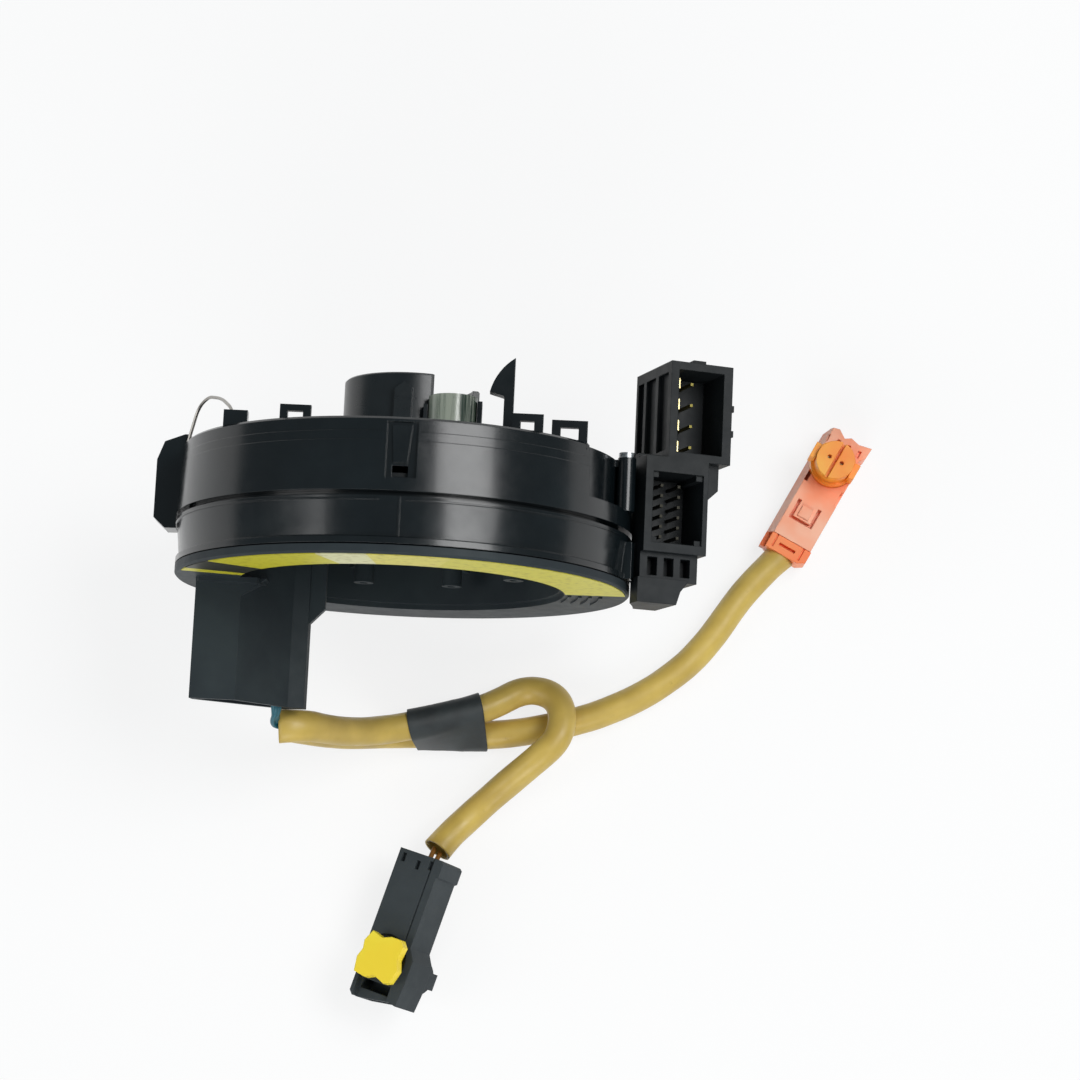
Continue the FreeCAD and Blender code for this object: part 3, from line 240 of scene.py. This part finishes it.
def printed_film():
    """Printed polyester film: fields of colour that follow the angle round the steering axis."""
    material, tree, out = finish("printed_polyester_film")
    spot = place(tree)
    parts = node(tree, "ShaderNodeSeparateXYZ", links={"Vector": spot})
    angle = node(tree, "ShaderNodeMath", {"operation": "ARCTAN2"}, None,
                 {0: parts.outputs["Z"], 1: parts.outputs["X"]})
    share = node(tree, "ShaderNodeMath", {"operation": "DIVIDE"}, {1: math.pi},
                 {0: angle.outputs["Value"]})
    fields = node(tree, "ShaderNodeValToRGB", links={"Fac": share.outputs["Value"]})
    fields.color_ramp.interpolation = "CONSTANT"
    # Shares of the half turn at which each field starts
    stops = [(0.0, "#CDC43C"), (0.2, "#CFC63C"), (0.42, "#D9CE58"), (0.535, "#DBD9A8"),
             (0.602, "#C9C12A"), (0.8, "#2C2D22"), (0.88, "#C9C12A")]
    while len(fields.color_ramp.elements) < len(stops):
        fields.color_ramp.elements.new(0.5)
    for element, (at, code) in zip(fields.color_ramp.elements, stops):
        element.position = at
        element.color = linear(code)
    worn = ramp(tree, cloud(tree, spot, 500.0, 5.0), linear("#C9C2A0"), linear("#FFFFFF"), (0.3, 0.5))
    tone = node(tree, "ShaderNodeMix", {"data_type": "RGBA", "blend_type": "MULTIPLY"}, {0: 0.6},
                {"A": fields.outputs["Color"], "B": worn})
    shader = node(tree, "ShaderNodeBsdfPrincipled", None, {"Roughness": 0.45, "IOR": 1.45},
                  {"Base Color": tone.outputs["Result"]})
    tree.links.new(shader.outputs["BSDF"], out.inputs["Surface"])
    return material


def clear_tube():
    """Clear polycarbonate tube, slightly green, with dull streaks along its height, darkened in bands
    of painted shade.
    """
    material, tree, out = finish("clear_polycarbonate")
    long_way = node(tree, "ShaderNodeMapping", None, {"Scale": (430.0, 16.0, 430.0)},
                    {"Vector": place(tree)})
    dull_streak_and_painted_shade = cloud(tree, long_way.outputs["Vector"], 1.0, 3.0, 0.7)
    # Painted shade: the dark end of the streaks stands in for the dark bands a clear tube shows from
    # what it refracts
    tone = ramp(tree, dull_streak_and_painted_shade, linear("#3E5648"), linear("#CED6C4"), (0.4, 0.5))
    rough = ramp(tree, dull_streak_and_painted_shade, grey(0.35), grey(0.12))
    shader = node(tree, "ShaderNodeBsdfPrincipled", None, {"IOR": 1.58, "Transmission Weight": 0.35},
                  {"Base Color": tone, "Roughness": rough})
    tree.links.new(shader.outputs["BSDF"], out.inputs["Surface"])
    return material


def dress(names, material):
    """Gives the named pieces one material."""
    for name in names:
        for place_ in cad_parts[name].material_slots:
            place_.material = material


def dress_nodes():
    # Black PBT housings: deep glossy skin that shows the lamps as soft bands
    case = moulded("black_pbt_glossy", "#0C1215", "#12191C", (0.17, 0.26), 0.35, 0.06, coat=0.1)
    dress(["lower_case", "upper_cover"], case)
    dress(["hub_sleeve"],
          moulded("black_pbt_collar", "#141A1D", "#1A2124", (0.26, 0.36), 0.3, 0.12, 0.35))
    # The rotor's skin is duller than the case's, and the connector block's duller still; the rotor's
    # paler grey is partly its satin black and partly painted light, for the brighter light on its tower
    dress(["rotor_housing"],
          moulded("black_pbt_satin_painted_light", "#272E32", "#30383B", (0.5, 0.62), 0.3, 0.15, shine=0.22))
    dress(["connector_housing", "gear_plate", "hall_chips"],
          moulded("black_pbt_block", "#0E1315", "#151A1D", (0.5, 0.62), 0.3, 0.12, shine=0.35))
    # Acetal gears: milky and a little waxy
    dress(["ring_gear", "sensor_gear_a", "sensor_gear_b", "cable_clip_outer", "cable_clip_inner"],
          moulded("natural_acetal", "#CFC9B4", "#E0DAC6", (0.35, 0.45), 0.5, 0.1, 0.08))
    # Clear-coated films of the ribbon and its guide
    dress(["flat_cable", "cable_guide"],
          moulded("polyester_ribbon", "#C4C4C6", "#D6D6D8", (0.22, 0.3), 1.0, 0.02, 0.05))
    dress(["black_leads"], moulded("brown_wire_pvc", "#8A5A1E", "#A8742C", (0.4, 0.5), 0.5, 0.1, 0.05))
    # Plug plastics: satin with soft edges, the orange body paler than its cap and its head, its
    # paleness a painted sheen on the same orange plastic
    dress(["orange_body"], moulded("orange_pbt_painted_sheen", "#FF9466", "#FFBC9C", (0.36, 0.46), 0.3, 0.15, 0.3))
    dress(["orange_cap", "orange_lock"],
          moulded("orange_pbt", "#FF7238", "#FF8E50", (0.36, 0.46), 0.3, 0.15, 0.3))
    dress(["orange_head"], moulded("amber_pbt", "#FF8A22", "#FFB640", (0.3, 0.42), 0.3, 0.12, 0.3))
    dress(["black_body", "black_head"],
          moulded("charcoal_pbt_plug", "#31373A", "#3B4144", (0.6, 0.72), 0.3, 0.2, 0.3, shine=0.3))
    dress(["yellow_lock"], moulded("yellow_pbt", "#FFE034", "#FFEC42", (0.36, 0.48), 0.3, 0.12, 0.4))
    # Inside the sensor: solder mask and sintered magnets
    dress(["sensor_board"],
          moulded("green_solder_mask", "#1A4E30", "#22603C", (0.3, 0.4), 0.4, 0.1, 0.1))
    dress(["gear_magnet_a", "gear_magnet_b"],
          moulded("sintered_ferrite", "#2E2E30", "#3A3A3C", (0.6, 0.8), 0.2, 0.4, 0.1))
    dress(["face_label"], printed_film())
    dress(["clear_sleeve"], clear_tube())
    # Metals: bright terminals, duller pins deep in the sockets, rougher and darkened with the sockets'
    # painted shade, zinc on the screws, bare spring wire
    dress(["tower_pins", "orange_contacts", "black_contacts", "blade_terminals"],
          metal("tinned_bronze_pins", ("#D8C48A", "#EADCA8"), (0.22, 0.36), 0.6))
    # Painted shade: the pins deep in the sockets get dark colours for the shade inside the sockets
    dress(["signal_pins"], metal("brass_pins_painted_shade", ("#6E6638", "#8C8248"), (0.4, 0.55), 0.6))
    dress(["sensor_pins"], metal("tinned_pins_painted_shade", ("#34332E", "#4A4840"), (0.5, 0.65), 0.6))
    dress(["cover_screws"], metal("zinc_plated_steel", ("#A8AAAC", "#C6C8CA"), (0.25, 0.4), 0.5))
    dress(["wire_bail"], metal("drawn_spring_steel", ("#8C8984", "#A5A19B"), (0.25, 0.35), 0.4))


# Leads

def spline_line(points, name):
    """Points read from the smooth spline that has a route's points as its control points."""
    data = bpy.data.curves.new(name, "CURVE")
    data.dimensions = "3D"
    data.resolution_u = 10
    spline = data.splines.new("NURBS")
    spline.points.add(len(points) - 1)
    for p, q in zip(spline.points, points):
        p.co = (*(Vector(q) * MM), 1.0)
    spline.order_u = 3
    spline.use_endpoint_u = True
    curve = bpy.data.objects.new(name, data)
    scene.collection.objects.link(curve)
    bpy.context.view_layer.update()
    mesh = bpy.data.meshes.new_from_object(curve.evaluated_get(bpy.context.evaluated_depsgraph_get()))
    line = [v.co.copy() for v in mesh.vertices]
    bpy.data.objects.remove(curve)
    return line


def spread(line, step):
    """The same line with its points evenly apart."""
    total = sum((b - a).length for a, b in zip(line, line[1:]))
    count = max(2, round(total / step))
    result = [line[0].copy()]
    done = 0.0
    index = 0
    for k in range(1, count):
        goal = total * k / count
        while done + (line[index + 1] - line[index]).length < goal:
            done += (line[index + 1] - line[index]).length
            index += 1
        run = line[index + 1] - line[index]
        result.append(line[index] + run * ((goal - done) / run.length))
    result.append(line[-1].copy())
    return result, total


def frames(line):
    """Direction, side and lift at each point, carried along the line without twist."""
    result = []
    side = None
    for k, p in enumerate(line):
        way = (line[min(k + 1, len(line) - 1)] - line[max(k - 1, 0)]).normalized()
        if side is None:
            side = way.cross(Vector((0, 0, 1))).normalized()
        side = (side - way * side.dot(way)).normalized()
        result.append((way, side, way.cross(side)))
    return result


def mesh_piece(name, verts, faces, material, smooth=True):
    """An object of its own from vertices and faces, with its faces turned outward."""
    mesh = bpy.data.meshes.new(name)
    mesh.from_pydata([tuple(v) for v in verts], [], faces)
    mesh.validate()
    bm = bmesh.new()
    bm.from_mesh(mesh)
    bmesh.ops.recalc_face_normals(bm, faces=bm.faces)
    bm.to_mesh(mesh)
    bm.free()
    for polygon in mesh.polygons:
        polygon.use_smooth = smooth
    piece = bpy.data.objects.new(name, mesh)
    piece.data.materials.append(material)
    scene.collection.objects.link(piece)
    return piece


def drawn_out(line, mouth):
    """A line with a bend added before its first point, out to a flat mouth."""
    far, turn = (Vector(q) * MM for q in mouth)
    shares = [k / MOUTH_STEPS for k in range(MOUTH_STEPS)]
    return [far * (1 - t) ** 2 + turn * 2 * t * (1 - t) + line[0] * t * t for t in shares] + line


def skin(rings, capped):
    """Vertices and faces of a skin over rings of points."""
    around = len(rings[0])
    faces = []
    for s in range(len(rings) - 1):
        for j in range(around):
            a, b = s * around + j, s * around + (j + 1) % around
            faces.append((a, b, b + around, a + around))
    if capped:
        faces.append(tuple(range(around)))
        faces.append(tuple(range((len(rings) - 1) * around, len(rings) * around)))
    return [v for ring in rings for v in ring], faces


def sheath(name, line, material, flat_start):
    """Loose PVC tube along a lead: open at both ends, pressed flatter towards its start."""
    marks = frames(line)
    around = 36
    bore_rings = 9
    pressed_rings = 26
    crease_waves = 130
    last = len(line) - 1
    # Out from the depth of the first bore, along the outside, and back into the second bore
    stations = [(bore_rings - 1 - k, SHEATH_WALL * MM) for k in range(bore_rings)]
    stations += [(k, 0.0) for k in range(last + 1)]
    stations += [(last - k, SHEATH_WALL * MM) for k in range(bore_rings)]
    rings = []
    for k, inset in stations:
        p = line[k]
        way, side, lift = marks[k]
        press = max(0.0, 1.0 - k / pressed_rings) ** 2 * flat_start
        flare = max(0.0, 1.0 - (last - k) / bore_rings) ** 2 * 0.1
        ring = []
        for j in range(around):
            a = 2 * math.pi * j / around
            spot = p * crease_waves + Vector((math.cos(a), math.sin(a), 0)) * 1.1
            crease = 1.0 + (0.035 + 0.09 * press) * noise.noise(spot)
            r = SHEATH_R * MM * crease - inset
            ring.append(p + side * (math.cos(a) * r * (1 + press * 0.5 + flare))
                        + lift * (math.sin(a) * r * (1 - press)))
        rings.append(ring)
    verts, faces = skin(rings, True)
    return mesh_piece(name, verts, faces, material)


def wires(name, routes, material):
    """Thin insulated wires in one piece."""
    verts = []
    faces = []
    turns = [2 * math.pi * j / 12 for j in range(12)]
    for route in routes:
        line = spread(spline_line(route, name + "_line"), WIRE_STEP * MM)[0]
        rings = []
        for p, (_, side, lift) in zip(line, frames(line)):
            rings.append([p + (side * math.cos(a) + lift * math.sin(a)) * WIRE_R * MM for a in turns])
        more_verts, more_faces = skin(rings, True)
        faces += [tuple(len(verts) + i for i in face) for face in more_faces]
        verts += more_verts
    return mesh_piece(name, verts, faces, material)


def tape(name, black_line, orange_line, material):
    """Tape wound round both sheaths, with the edge of each turn standing a little proud."""
    stations = 60
    around = 56
    turns_of_tape = 3.0
    rings = []
    r0 = (SHEATH_R + TAPE_OVER) * MM

    def reach(line, x):
        for p, q in zip(line, line[1:]):
            if p.x <= x * MM <= q.x:
                return p.lerp(q, (x * MM - p.x) / (q.x - p.x))
        return line[-1]

    for s in range(stations + 1):
        share = s / stations
        x = TAPE_FROM + (TAPE_TO - TAPE_FROM) * share
        p1 = reach(black_line, x - 0.5)
        p2 = reach(orange_line, x + 0.5)
        way1 = (reach(black_line, x + 0.5) - p1).normalized()
        way2 = (reach(orange_line, x + 1.5) - p2).normalized()
        across = (p1 - p2).normalized()
        way = way1 + way2
        way = (way - across * way.dot(across)).normalized()
        lift = way.cross(across)
        # A sheath that runs aslant through the turn needs a longer end round it
        ends = [1.0 / max(0.7, abs(way1.dot(way))), 1.0 / max(0.7, abs(way2.dot(way)))]
        turn_edge = 0.05 * MM * ((share * turns_of_tape) % 1.0)
        ring = []
        for j in range(around):
            a = 2 * math.pi * j / around
            centre, end = (p1, ends[0]) if math.cos(a) >= 0 else (p2, ends[1])
            r = r0 + turn_edge + 0.06 * MM * noise.noise(Vector((x * 0.4, a * 2.0, 0.0)))
            ring.append(centre + across * (math.cos(a) * r * end) + lift * (math.sin(a) * r))
        rings.append(ring)
    verts, faces = skin(rings, False)
    piece = mesh_piece(name, verts, faces, material)
    solid = piece.modifiers.new("tape thickness", "SOLIDIFY")
    solid.thickness = TAPE_T * MM
    solid.offset = -1.0
    return piece


def lay_leads():
    """Sheaths, tape and wires in place of their plain solids."""
    vinyl = vinyl_sheath()
    teal = moulded("teal_wire_pvc", "#1C5D6C", "#256F80", (0.4, 0.5), 0.5, 0.1, 0.05)
    black_line, black_length = spread(spline_line(BLACK_ROUTE, "black_route"), RING_STEP * MM)
    orange_line, orange_length = spread(spline_line(ORANGE_ROUTE, "orange_route"), RING_STEP * MM)
    drawn = drawn_out(black_line, MOUTH)
    black_length += sum((b - a).length for a, b in zip(drawn, drawn[1:MOUTH_STEPS + 1]))
    black = sheath("black_plug_sheath", drawn, vinyl, 0.32)
    orange = sheath("orange_plug_sheath", orange_line, vinyl, 0.2)
    wrap = tape("harness_tape", black_line, orange_line, cloth_tape())
    strands = wires("tower_wires", WIRE_ROUTES, teal)
    for piece, solid, name in ((black, "black_sheath", "sheath_vinyl"),
                               (orange, "orange_sheath", "sheath_vinyl"),
                               (wrap, "tape_sleeve", "cloth_tape"),
                               (strands, "tower_leads", "lead_insulation")):
        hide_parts(solid)
        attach(piece, "rotor")


# Studio

# Share of plain white in the floor as it is seen; the rest is the board with its shadow
WHITE_SHARE = 0.8
# The floor's half width and its drop below the object, in metres
FLOOR_HALF = 6.0
FLOOR_DROP = 0.0002


def lay_floor():
    """Matt white board that keeps the shadow and looks white to the camera and in reflections."""
    material, tree, out = finish("matt_white_backdrop")
    board = node(tree, "ShaderNodeBsdfPrincipled", None,
                 {"Base Color": linear("#F7F7F7"), "Roughness": 0.9})
    white = node(tree, "ShaderNodeEmission", None, {"Strength": 1.0})
    rays = node(tree, "ShaderNodeLightPath")
    mirror = node(tree, "ShaderNodeMath", {"operation": "MAXIMUM"}, None,
                  {0: rays.outputs["Is Glossy Ray"], 1: rays.outputs["Is Transmission Ray"]})
    seen = node(tree, "ShaderNodeMath", {"operation": "MAXIMUM"}, None,
                {0: rays.outputs["Is Camera Ray"], 1: mirror.outputs["Value"]})
    share = node(tree, "ShaderNodeMath", {"operation": "MULTIPLY"}, {1: WHITE_SHARE},
                 {0: seen.outputs["Value"]})
    mix = node(tree, "ShaderNodeMixShader", None, None,
               {0: share.outputs["Value"], 1: board.outputs["BSDF"], 2: white.outputs["Emission"]})
    tree.links.new(mix.outputs["Shader"], out.inputs["Surface"])
    h = FLOOR_HALF
    z = cad_box[0][2] - FLOOR_DROP
    corners = [(-h, -h, z), (h, -h, z), (h, h, z), (-h, h, z)]
    mesh_piece("floor", corners, [(0, 1, 2, 3)], material, False)


def lamp(name, spot, aim, size, watts):
    """Soft box at a spot, turned to what it lights."""
    data = bpy.data.lights.new(name, "AREA")
    data.shape = "RECTANGLE"
    data.size, data.size_y = size
    data.energy = watts
    light = bpy.data.objects.new(name, data)
    light.location = spot
    light.rotation_euler = (Vector(aim) - Vector(spot)).to_track_quat("-Z", "Y").to_euler()
    scene.collection.objects.link(light)


def light_studio():
    """Even, slightly cool world light with three soft boxes: key at the right, fill, and front."""
    world = bpy.data.worlds.new("studio")
    scene.world = world
    world.use_nodes = True
    light = world.node_tree.nodes["Background"].inputs
    light["Color"].default_value = (0.8, 0.93, 1.0, 1.0)
    light["Strength"].default_value = 0.22
    lamp("key_box", (0.55, 0.21, 0.92), (0.0, 0.02, 0.05), (0.64, 0.5), 7.0)
    lamp("fill_box", (-0.9, -0.3, 0.75), (0, 0, 0), (0.5, 0.7), 3.2)
    lamp("front_box", (0.0, -0.95, 0.6), (0, 0, 0), (0.9, 0.4), 5.0)


place_camera()
dress_nodes()
lay_leads()
lay_floor()
light_studio()
